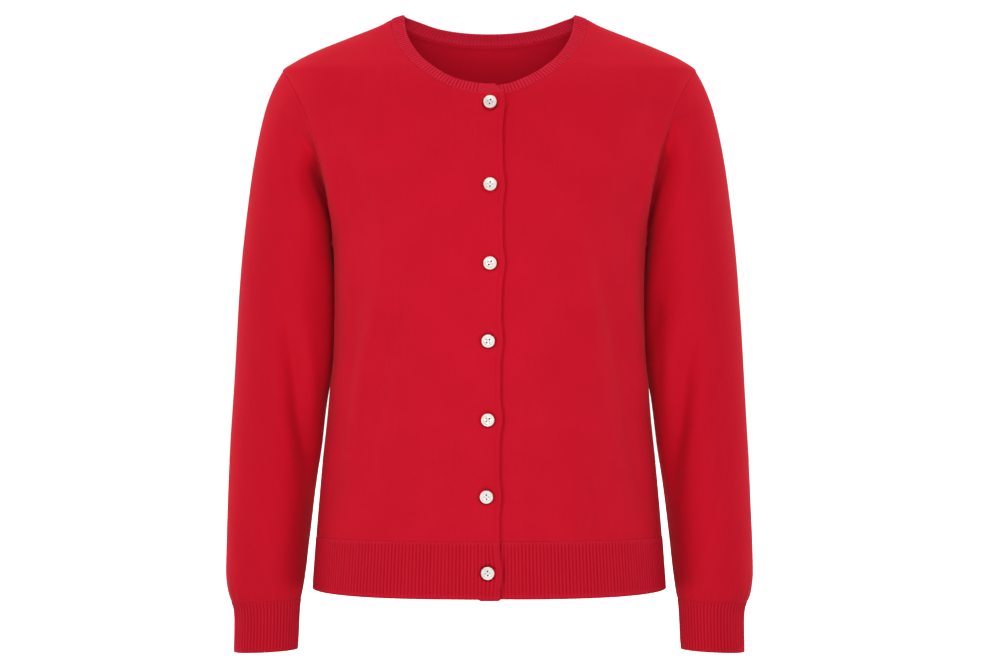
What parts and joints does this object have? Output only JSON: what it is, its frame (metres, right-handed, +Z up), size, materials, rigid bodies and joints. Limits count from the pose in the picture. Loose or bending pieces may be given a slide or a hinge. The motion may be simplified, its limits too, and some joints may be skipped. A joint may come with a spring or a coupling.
{
  "type": "cardigan",
  "caption": "Round-neck button cardigan in fine knit, long sleeves, ribbed neckband, hem and cuffs, filled out as it is worn and open at the neck, hem and wrists.",
  "frame": {"origin": "midway between the two points where the shoulder ridges meet the neckband's free edge, where the wearer's shoulders hold it up", "axes": "+Z up, -Y the way the front faces, +X to the wearer's left"},
  "size_m": [0.5256, 0.2365, 0.6364],
  "materials": {
    "jersey": "matt fine jersey knit",
    "ribbing": "matt rib knit",
    "button": "polished, a little pearly"
  },
  "bodies": {
    "root": {"back": "jersey", "front_right": "jersey", "front_left": "jersey", "sleeve_right": "jersey", "sleeve_left": "jersey", "neckband": "ribbing", "hem_rib_back": "ribbing", "hem_rib_front_right": "ribbing", "hem_rib_front_left": "ribbing", "cuff_right": "ribbing", "cuff_left": "ribbing", "button_1": "button", "button_2": "button", "button_3": "button", "button_4": "button", "button_5": "button", "button_6": "button", "button_7": "button"}
  },
  "joints": []
}
